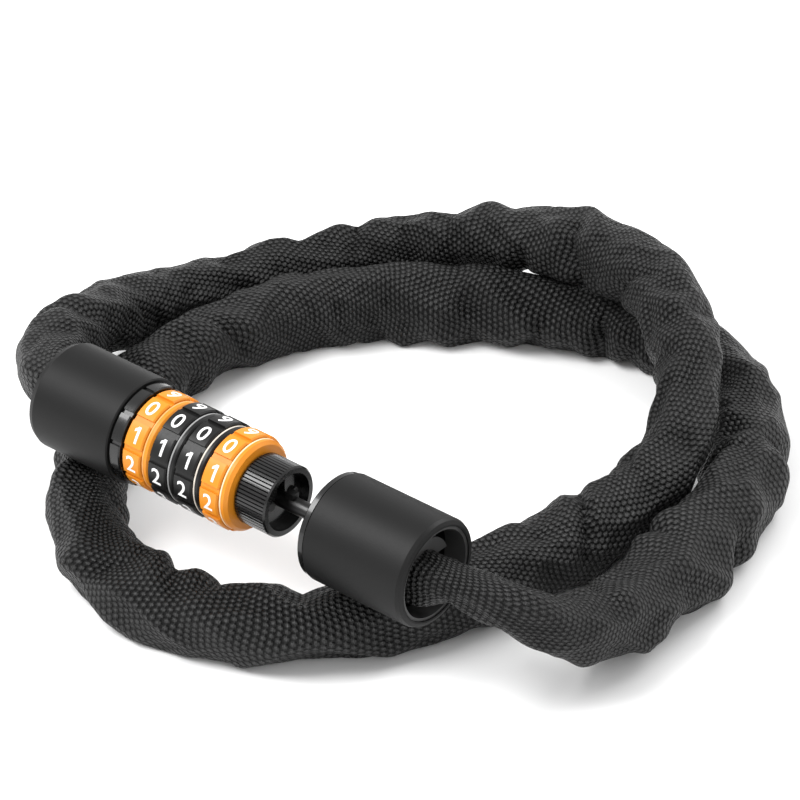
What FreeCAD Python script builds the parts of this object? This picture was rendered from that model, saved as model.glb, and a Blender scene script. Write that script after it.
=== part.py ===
"""Bicycle chain lock: four combination dials, a plug on a sliding pin, and a chain in a fabric sleeve.

The lock's axis runs along X. The housing is at low X and the cap at high X. The floor is Z = 0 and the
sleeve lies on it in about two loops behind the lock. Lengths are millimetres.
"""
import FreeCAD, Part
import Sketcher
import math
import os
import re
from FreeCAD import Vector

os.makedirs("parts", exist_ok=True)
doc = FreeCAD.newDocument("chain_lock")

# Driving dimensions, one cell each.
SIZES = {
    # where the lock lies
    "axis_height": 39.6, "axis_side": -75.0, "front_place": -37.0,
    # clearances
    "press_gap": 0.05, "running_gap": 0.08, "seam": 0.2,
    # housing
    "housing_radius": 17.0, "housing_wall": 2.2, "housing_length": 33.0, "housing_rear": 2.5,
    "housing_round": 2.6, "mouth_gap": 1.5,
    # index ring
    "index_radius": 16.0, "index_length": 3.7, "index_lip": 0.5, "index_spigot": 4.0, "index_gap": 0.8,
    "index_web": 1.5, "index_mark_width": 1.4, "index_mark_depth": 0.6, "stack_play": 0.5,
    # dials
    "dial_count": 4, "pad_count": 10, "dial_radius": 15.3, "dial_length": 9.8, "dial_play": 0.4,
    "dial_gap": 0.6, "pad_edge": 0.4, "notch_width": 1.9, "notch_depth": 0.8, "flange_length": 2.8,
    "flange_drop": 0.9, "flange_bevel": 1.0, "groove_width": 0.8, "groove_depth": 0.6,
    # clutch rings and washers
    "clutch_wall": 3.0, "clutch_inset": 0.15, "gate_depth": 1.5, "washer_inset": 0.9, "end_play": 0.1,
    # spindle and its fixings
    "spindle_radius": 7.5, "spindle_step": 4.5, "spindle_step_length": 2.5, "nose_hub": 5.8,
    "slot_play": 0.8, "plunger_radius": 1.2, "plunger_wall": 1.3, "screw_radius": 1.2, "screw_head": 2.0,
    "screw_head_length": 1.4, "screw_length": 6.0,
    # knurled nose
    "nose_length": 11.6, "nose_rim": 1.7, "nose_wall": 2.1, "nose_edge": 0.5, "knurl_count": 60,
    "knurl_depth": 0.45, "knurl_width": 0.62, "insert_length": 2.8, "nose_screw_radius": 0.8,
    "nose_screw_head": 1.5, "nose_screw_grip": 3.5, "nose_screw_head_length": 0.9,
    # plug: cap and locking pin
    "open_gap": 17.2, "closed_gap": 0.3, "cap_radius": 17.0, "cap_wall": 2.2, "cap_length": 38.6,
    "cap_round": 1.6, "ring_drop": 0.4, "ring_length": 2.0, "ring_spigot": 3.5, "socket_gap": 0.7,
    "web_length": 9.0, "rod_radius": 2.5, "rod_tip_gap": 3.5, "rod_grip": 8.0, "tooth_width": 2.6,
    "tooth_length": 3.0, "tooth_rise": 1.8, "collar_wall": 2.0, "collar_length": 2.0, "rim_gap": 2.8,
    "rim_length": 7.6, "rim_inset": 0.5,
    # clevis at each end of the chain
    "insert_disc": 5.0, "clevis_length": 12.0, "clevis_play": 0.3, "clevis_slot_play": 0.6,
    "clevis_pin_radius": 2.45, "clevis_pin_place": 8.0, "clevis_pin_inset": 0.4, "clevis_root_play": 0.85,
    # set screw
    "set_screw_radius": 1.5, "set_screw_length": 4.6, "set_screw_inset": 0.3,
    # sleeve and chain
    "sleeve_radius": 11.0, "sleeve_wall": 0.8, "sleeve_cut_gap": 0.4,
    "wire": 5.0, "link_width": 7.0, "link_length": 18.0, "link_play": 0.7,
}

# Sizes and places that follow from the driving ones.
FITS = {
    # housing and index ring
    "shell_bore": "housing_radius - housing_wall",
    "sleeve_mouth": "sleeve_radius + mouth_gap",
    "housing_bevel": "min(housing_round; housing_radius - sleeve_mouth - seam)",
    "index_bore": "spindle_step_radius + index_gap",
    # along the axis, from the housing's front
    "dial_start": "index_lip + index_length + dial_gap",
    "dial_pitch": "dial_length + dial_play",
    "nose_start": "dial_start + dial_count * dial_pitch + end_play",
    "spindle_end": "nose_start + nose_hub",
    "spindle_depth": "spindle_step_length + index_spigot + stack_play",
    "insert_face": "front_place - spindle_depth - insert_disc",
    "spindle_place": "front_place - spindle_depth",
    "cap_place": "front_place + nose_start + nose_length + open_gap",
    "cap_end": "cap_place + cap_length",
    "plug_travel": "nose_length + open_gap - closed_gap",
    # dials, clutch rings and washers
    "dial_bore": "spindle_radius + clutch_wall",
    "pad_length": "dial_length - flange_length",
    "flange_radius": "dial_radius - flange_drop",
    "clutch_length": "dial_length - 2 * clutch_inset",
    "clutch_bore": "spindle_radius + running_gap",
    "washer_radius": "dial_bore - washer_inset",
    "washer_length": "dial_play + 2 * clutch_inset - 2 * end_play",
    "thrust_length": "dial_gap + clutch_inset - end_play",
    # spindle
    "rod_bore": "rod_radius + running_gap",
    "spindle_step_radius": "spindle_radius + spindle_step",
    "spindle_seat": "spindle_radius + press_gap",
    "screw_circle": "spindle_radius + spindle_step / 2",
    "slot_width": "tooth_width + slot_play",
    "plunger_floor": "rod_bore + plunger_wall",
    "plunger_top": "spindle_radius - plunger_radius",
    # nose
    "nose_dish": "spindle_radius + nose_rim",
    "nose_radius": "nose_dish + nose_wall",
    "nose_screw_circle": "(spindle_radius + rod_radius) / 2",
    # cap
    "cap_bore": "cap_radius - cap_wall",
    "ring_radius": "cap_radius - ring_drop",
    "shell_length": "cap_length - ring_length - seam",
    "socket_radius": "nose_radius + socket_gap",
    "socket_depth": "nose_length - closed_gap + collar_length + seam",
    "web_place": "cap_place + socket_depth",
    "core_face": "web_place + web_length",
    "rim_radius": "sleeve_radius + rim_gap",
    "rod_reach": "nose_start + closed_gap - rod_tip_gap",
    "tooth_radius": "rod_radius + tooth_rise",
    "collar_radius": "rod_radius + collar_wall",
    # clevises
    "clevis_radius": "sleeve_radius - sleeve_wall - clevis_play",
    "clevis_slot": "wire + clevis_slot_play",
    "clevis_pin_length": "2 * clevis_radius - 2 * clevis_pin_inset",
    "clevis_root": "wire + link_play + clevis_pin_radius + clevis_root_play - clevis_pin_place",
}

# The sleeve's middle line, from inside the housing round to inside the cap, as chosen points.
ROUTE = [
    (-55, -75, 39.6), (-71, -75, 39.6), (-85, -68, 37), (-97, -46, 30), (-109, -6, 17), (-101.5, 35, 11.5),
    (-83, 66, 12), (-54, 92.5, 20), (-15, 101, 32), (21, 96.5, 37), (50, 81, 37), (71, 57, 30),
    (81, 28, 17.5), (78, -3, 11.2), (68, -40, 11), (56, -72, 11), (30, -99, 11), (-6, -109, 11),
    (-41, -97, 11), (-69, -63, 11), (-83, -19, 11), (-79.5, 23, 11), (-63, 51, 11), (-30, 76, 11.2),
    (8, 100, 11), (45, 103, 11.2), (79, 78, 11), (101, 46, 11), (111, 6, 11.2), (114.5, -36, 19),
    (114.5, -55, 30.5), (107.6, -68, 35.8), (94.5, -75.2, 39.2), (80.5, -74.8, 39.7), (66, -75, 39.6),
]
TAIL_START = 30   # the first point of the route that moves with the plug
LINK_STEP = 0.25  # how finely the links are fitted along the route

sheet = doc.addObject("Spreadsheet::Sheet", "dims")
for row, (name, value) in enumerate(SIZES.items(), 1):
    sheet.set(f"A{row}", name)
    sheet.set(f"B{row}", str(value))
    sheet.setAlias(f"B{row}", name)
doc.recompute()


def size(name):
    """The value of one named cell."""
    return float(sheet.get(name))


def bound(text):
    """An expression in the names above, written so that it reads the sheet."""
    def spelled(match):
        name = match.group()
        if name == "min":
            return name
        return f"({bound(FITS[name])})" if name in FITS else f"dims.{name}"
    return re.sub(r"[a-z][a-z_]*", spelled, text)


def value(text):
    """What an expression in cell names comes to now."""
    result = sheet.evalExpression(bound(text))
    return float(getattr(result, "Value", result))


def put(piece, along, across="axis_side", up="axis_height"):
    """Bind a piece's place to the sheet."""
    for axis, text in zip("xyz", (along, across, up)):
        piece.setExpression(f"Placement.Base.{axis}", bound(text))
    return piece


UP, ALONG = Vector(0, 0, 1), Vector(1, 0, 0)
SIDES = (("left", "+"), ("right", "-"))
DIALS = int(size("dial_count"))


# ---- PartDesign helpers ------------------------------------------------------------------------

ZERO = "0 * seam"


def new_body(label):
    body = doc.addObject("PartDesign::Body", label)
    body.Label = label
    return body


def new_sketch(body, role, name, offset=None):
    sketch = body.newObject("Sketcher::SketchObject", f"{body.Name}_{name}")
    plane = next(feature for feature in body.Origin.OriginFeatures if feature.Role == role)
    sketch.AttachmentSupport = (plane, "")
    sketch.MapMode = "FlatFace"
    if offset:
        sketch.setExpression("AttachmentOffset.Base.z", bound(offset))
    return sketch


def place_point(sketch, line, across, up):
    """Tie one line's first point to the sheet."""
    for kind, text in (("DistanceX", across), ("DistanceY", up)):
        number = sketch.addConstraint(Sketcher.Constraint(kind, line, 1, value(text)))
        sketch.setExpression(f"Constraints[{number}]", bound(text))


def closed_outline(sketch, corners):
    """A closed outline of straight lines through corners given as pairs of expressions."""
    spots = [Vector(value(across), value(up), 0) for across, up in corners]
    lines = [sketch.addGeometry(Part.LineSegment(a, b), False) for a, b in zip(spots, spots[1:] + spots[:1])]
    for line, after in zip(lines, lines[1:] + lines[:1]):
        sketch.addConstraint(Sketcher.Constraint("Coincident", line, 2, after, 1))
    for line, (across, up) in zip(lines, corners):
        place_point(sketch, line, across, up)


def turned(label, corners, along):
    """A body turned about the lock's axis; corners are (along the axis, radius)."""
    body = new_body(label)
    sketch = new_sketch(body, "XY_Plane", "outline")
    closed_outline(sketch, corners)
    turn = body.newObject("PartDesign::Revolution", f"{label}_turn")
    turn.Profile = sketch
    turn.ReferenceAxis = (sketch, ["H_Axis"])
    turn.Angle = 360
    return put(body, along)


def bushing(label, outer, inner, length, along):
    """A plain ring."""
    return turned(label, [(ZERO, inner), (length, inner), (length, outer), (ZERO, outer)], along)


def cut_block(body, name, corners, length, role="YZ_Plane", both_ways=False, backward=True, offset=None):
    """Cut a straight-sided outline out of a body; returns the pocket."""
    doc.recompute()
    sketch = new_sketch(body, role, name, offset)
    closed_outline(sketch, corners)
    return finish_cut(body, sketch, name, length, both_ways, backward)


def cut_hole(body, name, across, up, radius, length, role="YZ_Plane", both_ways=False, backward=True,
             offset=None):
    """Cut a round hole out of a body; returns the pocket."""
    doc.recompute()
    sketch = new_sketch(body, role, name, offset)
    middle = Vector(value(across), value(up), 0)
    ring = sketch.addGeometry(Part.Circle(middle, UP, value(radius)), False)
    number = sketch.addConstraint(Sketcher.Constraint("Radius", ring, value(radius)))
    sketch.setExpression(f"Constraints[{number}]", bound(radius))
    for kind, text in (("DistanceX", across), ("DistanceY", up)):
        number = sketch.addConstraint(Sketcher.Constraint(kind, ring, 3, value(text)))
        sketch.setExpression(f"Constraints[{number}]", bound(text))
    return finish_cut(body, sketch, name, length, both_ways, backward)


def finish_cut(body, sketch, name, length, both_ways, backward):
    before = body.Shape.Volume
    pocket = body.newObject("PartDesign::Pocket", f"{body.Name}_{name}_cut")
    pocket.Profile = sketch
    pocket.Type = 0
    pocket.setExpression("Length", bound(length))
    pocket.Midplane = both_ways
    pocket.Reversed = backward
    doc.recompute()
    if body.Shape.Volume > before - 1e-6:
        raise RuntimeError(f"{body.Label}: {name} cuts nothing")
    return pocket


def repeat_round(body, feature, count):
    """Repeat a cut evenly round the lock's axis."""
    pattern = body.newObject("PartDesign::PolarPattern", f"{feature.Name}_round")
    pattern.Originals = [feature]
    axis = next(item for item in body.Origin.OriginFeatures if item.Role == "X_Axis")
    pattern.Axis = (axis, [""])
    pattern.Angle = 360
    pattern.setExpression("Occurrences", bound(count))
    body.Tip = pattern
    doc.recompute()
    return pattern


# ---- Part helpers ------------------------------------------------------------------------------

def rod(name, radius, length, along, across="axis_side", up="axis_height", direction=ALONG):
    """A cylinder from one place along a direction."""
    piece = doc.addObject("Part::Cylinder", name)
    piece.setExpression("Radius", bound(radius))
    piece.setExpression("Height", bound(length))
    piece.Placement.Rotation = FreeCAD.Rotation(UP, direction)
    return put(piece, along, across, up)


def block(name, long, wide, tall, along, across, up):
    """A box from its low corner."""
    piece = doc.addObject("Part::Box", name)
    for side, text in (("Length", long), ("Width", wide), ("Height", tall)):
        piece.setExpression(side, bound(text))
    return put(piece, along, across, up)


def fused(label, pieces):
    piece = doc.addObject("Part::MultiFuse", label)
    piece.Shapes = pieces
    piece.Label = label
    return piece


def without(label, base, tool):
    piece = doc.addObject("Part::Cut", label)
    piece.Base = base
    piece.Tool = tool
    piece.Label = label
    return piece


def group(label, pieces):
    """Separate solids of one kind in one node."""
    piece = doc.addObject("Part::Compound", label)
    piece.Links = pieces
    piece.Label = label
    return piece


def shaped(label, shape):
    """A piece whose shape is worked out below from the sheet's values."""
    piece = doc.addObject("Part::Feature", label)
    piece.Shape = shape
    piece.Label = label
    return piece


# ---- housing and what is fixed in it -----------------------------------------------------------

def housing_shell():
    shell = turned("housing_shell", [
        (ZERO, "sleeve_mouth"), (ZERO, "housing_radius - housing_bevel"),
        ("housing_bevel * 0.3", "housing_radius - housing_bevel * 0.3"), ("housing_bevel", "housing_radius"),
        ("housing_length - pad_edge", "housing_radius"), ("housing_length", "housing_radius - pad_edge"),
        ("housing_length", "shell_bore"), ("housing_rear", "shell_bore"), ("housing_rear", "sleeve_mouth"),
    ], "front_place - housing_length")
    cut_hole(shell, "grub_hole", "insert_face + insert_disc / 2 - front_place + housing_length", ZERO,
             "set_screw_radius + press_gap", "housing_radius + seam", "XY_Plane", backward=False)
    return shell


def clevis(label, face, facing, disc_radius, disc_length):
    """A disc with a forked spigot and its cross pin; facing is -1 where the fork looks to low X."""
    if facing < 0:
        disc_start, fork_start = face, f"{face} - clevis_length"
        slot_start, pin_place = f"{face} - clevis_length - seam", f"{face} - clevis_pin_place"
    else:
        disc_start, fork_start = f"{face} - {disc_length}", f"{face} - seam"
        slot_start, pin_place = f"{face} - clevis_root", f"{face} + clevis_pin_place"
    disc = rod(f"{label}_disc", disc_radius, disc_length, disc_start)
    fork = rod(f"{label}_fork", "clevis_radius", "clevis_length + seam", fork_start)
    slot = block(f"{label}_slot", "clevis_length + clevis_root + seam", "2 * clevis_radius + 2 * seam",
                 "clevis_slot", slot_start, "axis_side - clevis_radius - seam", "axis_height - clevis_slot / 2")
    hole = rod(f"{label}_hole", "clevis_pin_radius + press_gap", "2 * clevis_radius + 2 * seam", pin_place,
               "axis_side", "axis_height - clevis_radius - seam", UP)
    pin = rod(f"{label}_anchor_pin", "clevis_pin_radius", "clevis_pin_length", pin_place,
              "axis_side", "axis_height - clevis_pin_length / 2", UP)
    return [disc, fork], [slot, hole], pin


def rear_insert():
    """The block in the housing's rear that anchors the chain, its cross pin and its set screw."""
    solids, cuts, pin = clevis("rear", "insert_face", -1, "shell_bore - press_gap", "insert_disc")
    screw_place = "insert_face + insert_disc / 2"
    screw_foot = "axis_height - housing_radius + set_screw_inset"
    cuts.append(rod("rear_grub_hole", "set_screw_radius + press_gap", "set_screw_length + seam", screw_place,
                    "axis_side", screw_foot, UP))
    for side, sign in SIDES:
        cuts.append(rod(f"rear_screw_hole_{side}", "screw_radius + press_gap", "insert_disc + seam",
                        "insert_face + seam", f"axis_side {sign} screw_circle"))
    insert = without("rear_insert", fused("rear_solid", solids), fused("rear_cuts", cuts))
    screw = rod("housing_set_screw", "set_screw_radius", "set_screw_length", screw_place,
                "axis_side", screw_foot, UP)
    return insert, pin, screw


def spindle():
    """The core tube that carries the dials: a flange behind, a slot on top for the pin's teeth."""
    front = "spindle_depth + spindle_end"
    body = turned("spindle", [
        (ZERO, "rod_bore"), (ZERO, "spindle_step_radius"), ("spindle_step_length", "spindle_step_radius"),
        ("spindle_step_length", "spindle_radius"), (front, "spindle_radius"), (front, "rod_bore"),
    ], "spindle_place")
    cut_block(body, "slot", [
        ("spindle_depth", ZERO), (f"{front} + seam", ZERO), (f"{front} + seam", "spindle_radius + seam"),
        ("spindle_depth", "spindle_radius + seam"),
    ], "slot_width", "XZ_Plane", both_ways=True)
    for side, sign in SIDES:
        cut_hole(body, f"rear_{side}", f"0 * seam {sign} screw_circle", ZERO, "screw_radius + press_gap",
                 "spindle_step_length + seam")
        cut_hole(body, f"front_{side}", f"0 * seam {sign} nose_screw_circle", ZERO,
                 "nose_screw_radius + press_gap", "nose_screw_grip + seam", backward=False, offset=front)
    for number in range(DIALS):
        cut_hole(body, f"plunger_{number + 1}", f"spindle_depth + {dial_middle(number)}", ZERO,
                 "plunger_radius + press_gap", "spindle_radius", "XY_Plane", backward=False,
                 offset="0 - plunger_floor")
    return body


def dial_middle(number):
    """How far the middle of a dial stands in front of the housing."""
    return f"dial_start + dial_pitch * {number} + dial_length / 2"


def cap_screws(label, circle, radius, grip, head, head_length, seat):
    """Two screws along the lock's axis, one each side, with round heads on a seat."""
    pieces = []
    for side, sign in SIDES:
        place = f"axis_side {sign} {circle}"
        shank = rod(f"{label}_{side}_shank", radius, f"{grip} + seam", f"{seat} - {grip}", place)
        top = rod(f"{label}_{side}_head", head, head_length, seat, place)
        pieces.append(fused(f"{label}_{side}", [shank, top]))
    return group(label, pieces)


def index_ring():
    """The gloss ring in the housing's mouth; two marks in its edge show where to read the dials."""
    lip, end = "index_spigot + index_lip", "index_spigot + index_lip + index_length"
    bore = "spindle_seat"
    ring = turned("index_ring", [
        (ZERO, "index_bore"), (ZERO, "shell_bore - press_gap"), (lip, "shell_bore - press_gap"),
        (lip, "index_radius"), (f"{end} - pad_edge", "index_radius"), (end, "index_radius - pad_edge"),
        (end, bore), ("index_spigot - index_web", bore), ("index_spigot - index_web", "index_bore"),
    ], "front_place - index_spigot")
    half = "index_mark_width / 2"
    mark = cut_block(ring, "mark", [
        (f"0 - {half}", "index_radius - index_mark_depth"), (half, "index_radius - index_mark_depth"),
        (half, "index_radius + seam"), (f"0 - {half}", "index_radius + seam"),
    ], "index_length + seam", offset=lip)
    repeat_round(ring, mark, "pad_count")
    return ring


def detent_plungers():
    """Sprung pins in the spindle that click against the clutch rings."""
    pieces = []
    top = "plunger_top"
    for number in range(DIALS):
        place = f"front_place + {dial_middle(number)}"
        stem = rod(f"plunger_{number + 1}_stem", "plunger_radius", f"{top} - plunger_floor - seam", place,
                   "axis_side", f"axis_height - {top}", UP)
        ball = doc.addObject("Part::Sphere", f"plunger_{number + 1}_ball")
        ball.setExpression("Radius", bound("plunger_radius"))
        put(ball, place, "axis_side", f"axis_height - {top}")
        pieces.append(fused(f"plunger_{number + 1}", [stem, ball]))
    return group("detent_plungers", pieces)


def washers():
    thrust = bushing("thrust_washer", "washer_radius", "spindle_seat", "thrust_length",
                     "front_place + index_lip + index_length")
    pieces = [bushing(f"washer_{number + 1}", "washer_radius", "spindle_seat", "washer_length",
                      f"front_place + dial_start + dial_pitch * {number + 1} - washer_length")
              for number in range(DIALS)]
    return thrust, group("spacer_washers", pieces)


def dial(number):
    """One dial with ten raised pads and a groove between them and its smooth flange."""
    label = f"dial_{number + 1}"
    flange, floor = "flange_radius", "flange_radius - groove_depth"
    corners = [
        (ZERO, "dial_bore"), (ZERO, "dial_radius - pad_edge"), ("pad_edge", "dial_radius"),
        ("pad_length - pad_edge", "dial_radius"), ("pad_length", "dial_radius - pad_edge"),
        ("pad_length", floor), ("pad_length + groove_width", floor), ("pad_length + groove_width", flange),
        ("dial_length - flange_bevel", flange), ("dial_length", f"{flange} - flange_bevel"),
        ("dial_length", "dial_bore"),
    ]
    body = turned(label, corners, f"front_place + dial_start + dial_pitch * {number}")
    half = "notch_width / 2"
    notch = cut_block(body, "notch", [
        (f"0 - {half}", "dial_radius - notch_depth"), (half, "dial_radius - notch_depth"),
        (half, "dial_radius + seam"), (f"0 - {half}", "dial_radius + seam"),
    ], "pad_length")
    repeat_round(body, notch, "pad_count")
    return body


def clutch_ring(number):
    """The ring inside a dial; a tooth of the pin passes its gate only at the right number."""
    label = f"clutch_ring_{number + 1}"
    inner = "clutch_bore"
    body = bushing(label, "dial_bore - press_gap", inner, "clutch_length",
                   f"front_place + dial_start + dial_pitch * {number} + (dial_length - clutch_length) / 2")
    half = "slot_width / 2"
    cut_block(body, "gate", [
        (f"0 - {half}", "spindle_radius - seam"), (half, "spindle_radius - seam"),
        (half, f"{inner} + gate_depth"), (f"0 - {half}", f"{inner} + gate_depth"),
    ], "clutch_length + seam")
    return body


def knurled_nose():
    """The ribbed nose on the spindle's end, hollow in front."""
    seat = "spindle_end - nose_start"
    bore = "spindle_seat"
    nose = turned("knurled_nose", [
        (ZERO, bore), (ZERO, "nose_radius - nose_edge"), ("nose_edge", "nose_radius"),
        ("nose_length - nose_edge", "nose_radius"), ("nose_length", "nose_radius - nose_edge"),
        ("nose_length", "nose_dish"), (seat, "nose_dish"), (seat, bore),
    ], "front_place + nose_start")
    half = "knurl_width / 2"
    groove = cut_block(nose, "knurl", [
        (ZERO, "nose_radius - knurl_depth"), (half, "nose_radius + seam"),
        (f"0 - {half}", "nose_radius + seam"),
    ], "nose_length - 2 * nose_edge", offset="nose_edge")
    repeat_round(nose, groove, "knurl_count")
    return nose


def nose_insert():
    """The disc in the nose that guides the pin; its keyway lets the teeth through."""
    insert = bushing("nose_insert", "nose_dish - press_gap", "rod_bore", "insert_length",
                     "front_place + spindle_end")
    half = "slot_width / 2"
    cut_block(insert, "keyway", [
        (f"0 - {half}", ZERO), (half, ZERO), (half, "spindle_radius"), (f"0 - {half}", "spindle_radius"),
    ], "insert_length + seam")
    for side, sign in SIDES:
        cut_hole(insert, f"screw_{side}", f"0 * seam {sign} nose_screw_circle", ZERO,
                 "nose_screw_radius + press_gap", "insert_length + seam")
    return insert


# ---- plug: the cap, the locking pin and the chain's other anchor ---------------------------------

def cap_front_ring():
    end = "ring_length + ring_spigot"
    return turned("cap_front_ring", [
        (ZERO, "socket_radius"), (ZERO, "ring_radius - pad_edge"), ("pad_edge", "ring_radius"),
        ("ring_length", "ring_radius"), ("ring_length", "cap_bore - press_gap"),
        (end, "cap_bore - press_gap"), (end, "socket_radius"),
    ], "cap_place")


def cap_shell():
    length = "shell_length"
    return turned("cap_shell", [
        (ZERO, "cap_bore"), (ZERO, "cap_radius - pad_edge"), ("pad_edge", "cap_radius"),
        (f"{length} - cap_round", "cap_radius"),
        (f"{length} - cap_round * 0.3", "cap_radius - cap_round * 0.3"),
        (length, "cap_radius - cap_round"), (length, "cap_bore"),
    ], "cap_place + ring_length + seam")


def cap_core():
    """The web across the cap: it grips the pin in front and anchors the chain behind."""
    solids, cuts, pin = clevis("cap", "core_face", 1, "cap_bore - press_gap", "web_length")
    cuts.append(rod("cap_rod_hole", "rod_radius + press_gap", "rod_grip + seam", "web_place - seam"))
    core = without("cap_core", fused("cap_solid", solids), fused("cap_cuts", cuts))
    return core, pin


def locking_pin():
    """The rod that slides into the spindle, with one tooth for each dial."""
    start = "cap_place - rod_reach"
    pieces = [rod("rod", "rod_radius", "rod_reach + socket_depth + rod_grip - rod_radius / 2",
                  f"{start} + rod_radius / 2")]
    tip = doc.addObject("Part::Cone", "rod_tip")
    for side, text in (("Radius1", "rod_radius / 2"), ("Radius2", "rod_radius"), ("Height", "rod_radius / 2")):
        tip.setExpression(side, bound(text))
    tip.Placement.Rotation = FreeCAD.Rotation(UP, ALONG)
    pieces.append(put(tip, start))
    for number in range(DIALS):
        pieces.append(block(f"tooth_{number + 1}", "tooth_length", "tooth_width", "tooth_radius",
                            f"front_place + {dial_middle(number)} + plug_travel - tooth_length / 2",
                            "axis_side - tooth_width / 2", "axis_height"))
    return fused("locking_pin", pieces)


# ---- sleeve and chain ----------------------------------------------------------------------------

def rounded_route(points):
    """The route's arcs, one at each inner point: start, middle, end, centre, radius."""
    arcs = []
    for before, corner, after in zip(points, points[1:], points[2:]):
        back, ahead = before - corner, after - corner
        shorter = min(back.Length, ahead.Length)
        turn = math.pi - back.getAngle(ahead)
        radius = 0.45 * shorter / math.tan(turn / 2)
        back.normalize()
        ahead.normalize()
        inward = back + ahead
        inward.normalize()
        centre = corner + inward * (radius / math.cos(turn / 2))
        arcs.append((corner + back * 0.45 * shorter, centre - inward * radius, corner + ahead * 0.45 * shorter,
                     radius))
    return arcs


def route_wire(start, arcs, end):
    """Straight runs joined by tangent arcs."""
    edges = []
    here = start
    for first, middle, last, _ in arcs:
        edges += [Part.LineSegment(here, first).toShape(), Part.Arc(first, middle, last).toShape()]
        here = last
    edges.append(Part.LineSegment(here, end).toShape())
    return Part.Wire(edges)


def tube(wire, outer, inner):
    """A hollow tube along a wire; its volume must be its section times its length."""
    start = wire.Edges[0].firstVertex().Point
    direction = wire.Edges[0].tangentAt(wire.Edges[0].FirstParameter)
    shells = []
    for radius in (outer, inner):
        ring = Part.Wire([Part.Circle(start, direction, radius).toShape()])
        shells.append(wire.makePipeShell([ring], True, False))
    solid = shells[0].cut(shells[1]).Solids[0]
    expected = math.pi * (outer ** 2 - inner ** 2) * wire.Length
    if abs(solid.Volume / expected - 1) > 0.01:
        raise RuntimeError(f"tube volume {solid.Volume:.0f}, section times length {expected:.0f}")
    return solid


def link_solid(wire, width, length):
    """One welded link lying flat: two straight bars and two half rings."""
    bend = (width + wire) / 2
    half = (length - width) / 2
    bars = [Part.makeCylinder(wire / 2, 2 * half, Vector(-half, side * bend, 0), ALONG) for side in (1, -1)]
    bows = []
    for end in (1, -1):
        section = Part.Face(Part.Wire([Part.Circle(Vector(end * half, bend, 0), ALONG, wire / 2).toShape()]))
        bows.append(section.revolve(Vector(end * half, 0, 0), UP, -180 * end))
    return bars[0].multiFuse(bars[1:] + bows)


def chain_links(wire, start, stop, first_flat=True):
    """Links laid along a wire from one distance to another, alternately flat and upright."""
    bar, length, play = size("wire"), size("link_length"), size("link_play")
    template = link_solid(bar, size("link_width"), length)
    reach = {True: length / 2 - bar / 2 - play, False: length / 2 + bar / 2}
    places = wire.discretize(Distance=LINK_STEP)
    walked = [0.0]
    for one, two in zip(places, places[1:]):
        walked.append(walked[-1] + (two - one).Length)
    here = min(range(len(places)), key=lambda number: abs(walked[number] - start))
    links, flat = [], first_flat
    while True:
        chord = 2 * reach[flat]
        there = here
        while there < len(places) and (places[there] - places[here]).Length < chord:
            there += 1
        if there >= len(places) or walked[there] + length / 2 + bar - reach[flat] > stop:
            return links
        ahead = places[there] - places[here]
        ahead.normalize()
        side = UP.cross(ahead)
        side.normalize()
        normal = ahead.cross(side)
        if not flat:
            side, normal = normal, side * -1
        middle = (places[here] + places[there]) * 0.5
        turn = FreeCAD.Matrix(ahead.x, side.x, normal.x, middle.x, ahead.y, side.y, normal.y, middle.y,
                              ahead.z, side.z, normal.z, middle.z, 0, 0, 0, 1)
        link = template.copy()
        link.Placement = FreeCAD.Placement(turn)
        links.append(link)
        here, flat = there, not flat


def sleeve_and_chain():
    """The sleeve and chain, and the stretch of each that moves with the plug."""
    points = [Vector(*point) for point in ROUTE]
    arcs = rounded_route(points)
    print("arc radii", [round(arc[3]) for arc in arcs])
    gap = (points[TAIL_START] - points[TAIL_START - 1]).normalize() * (size("sleeve_cut_gap") / 2)
    cut = (points[TAIL_START] + points[TAIL_START - 1]) * 0.5
    main = route_wire(points[0], arcs[:TAIL_START - 1], cut - gap)
    tail = route_wire(points[-1], [arc[2::-1] + arc[3:] for arc in reversed(arcs[TAIL_START - 1:])], cut + gap)
    outer, inner = size("sleeve_radius"), size("sleeve_radius") - size("sleeve_wall")
    print(f"sleeve {main.Length:.1f} mm, tail {tail.Length:.1f} mm")
    pin = size("clevis_pin_place")
    pin_wire = {"main": points[0].x - (value("insert_face") - pin), "tail": value("core_face") + pin - points[-1].x}
    keep(shaped("sleeve", tube(main, outer, inner)))
    keep(shaped("sleeve_tail", tube(tail, outer, inner)))
    for label, wire, start in (("chain_links", main, pin_wire["main"]),
                               ("chain_tail_links", tail, pin_wire["tail"])):
        links = chain_links(wire, start, wire.Length - size("link_play"))
        print(label, len(links))
        keep(shaped(label, Part.makeCompound(links)))


# ---- the whole lock --------------------------------------------------------------------------------

nodes = []


def keep(*pieces):
    nodes.extend(pieces)


keep(housing_shell(), *rear_insert(), spindle(), index_ring())
keep(cap_screws("spindle_screws", "screw_circle", "screw_radius", "screw_length", "screw_head",
                "screw_head_length", "(spindle_place + spindle_step_length)"))
keep(detent_plungers(), *washers())
for number in range(DIALS):
    keep(dial(number), clutch_ring(number))
keep(knurled_nose(), nose_insert())
keep(cap_screws("nose_screws", "nose_screw_circle", "nose_screw_radius", "(nose_screw_grip + insert_length)",
                "nose_screw_head", "nose_screw_head_length", "(front_place + spindle_end + insert_length)"))
keep(cap_front_ring(), cap_shell(), *cap_core(), locking_pin())
keep(bushing("cap_liner", "cap_bore - press_gap", "socket_radius", "socket_depth - ring_length - ring_spigot",
             "cap_place + ring_length + ring_spigot"))
keep(bushing("pin_collar", "collar_radius", "rod_radius + press_gap", "collar_length",
             "web_place - collar_length"))
keep(bushing("cap_rim", "cap_bore - press_gap", "rim_radius", "rim_length",
             "cap_place + cap_length - rim_inset - rim_length"))
doc.recompute()
sleeve_and_chain()
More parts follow.
